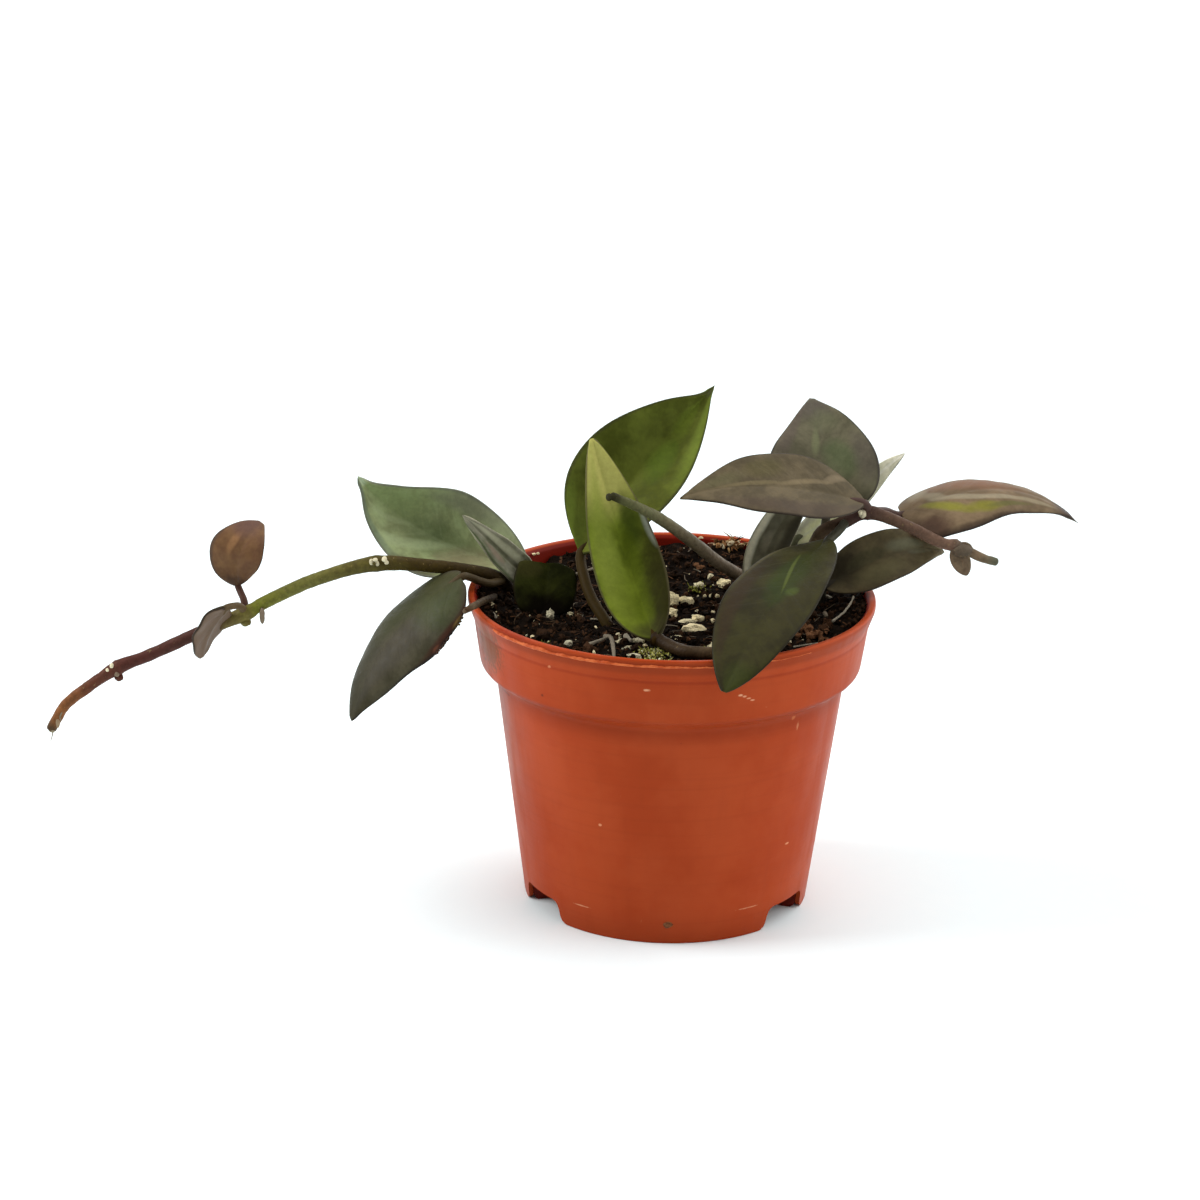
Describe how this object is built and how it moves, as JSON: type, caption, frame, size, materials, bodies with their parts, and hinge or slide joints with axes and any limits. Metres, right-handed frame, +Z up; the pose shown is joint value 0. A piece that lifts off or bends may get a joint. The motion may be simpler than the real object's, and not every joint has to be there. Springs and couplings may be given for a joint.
{
  "type": "potted trailing plant",
  "caption": "Small round nursery pot holding a young trailing plant with dark pointed leaves on stiff bare stems that reach out over the rim.",
  "frame": {"origin": "bottom centre of the whole plant's bounding box, on the table; the pot's own axis stands 22 mm towards +X and 2.5 mm towards +Y of it", "axes": "+Z up along the pot's axis; -Y is the front, where the camera of the picture stood; the longest vine reaches towards -X"},
  "size_m": [0.2163, 0.0901, 0.1086],
  "materials": {
    "pot": "smooth terracotta-coloured plastic with a soft shine",
    "soil": "damp dark potting mix with bark and white perlite",
    "stem": "smooth brown and olive stem with swollen nodes",
    "leaf_dark": "thick waxy leaf, grey green with a purple brown tint",
    "leaf_green": "thick waxy leaf, fresh green",
    "leaf_young": "young waxy leaf, red brown"
  },
  "bodies": {
    "root": {"pot": "pot", "soil": "soil", "vine_left": "stem", "vine_right": "stem", "vine_centre": "stem", "vine_front": "stem", "stub_left": "stem", "leaf_round_young": "leaf_young", "leaf_curled_young": "leaf_young", "leaf_left_drooping": "leaf_dark", "leaf_left_broad": "leaf_dark", "leaf_left_folded": "leaf_dark", "leaf_left_low": "leaf_dark", "leaf_centre_tall": "leaf_green", "leaf_centre_upright": "leaf_green", "leaf_right_front": "leaf_dark", "leaf_right_heart": "leaf_dark", "leaf_right_inner": "leaf_dark", "leaf_right_top": "leaf_dark", "leaf_right_pale": "leaf_green", "leaf_right_end": "leaf_dark", "leaf_right_rear": "leaf_dark"}
  },
  "joints": []
}
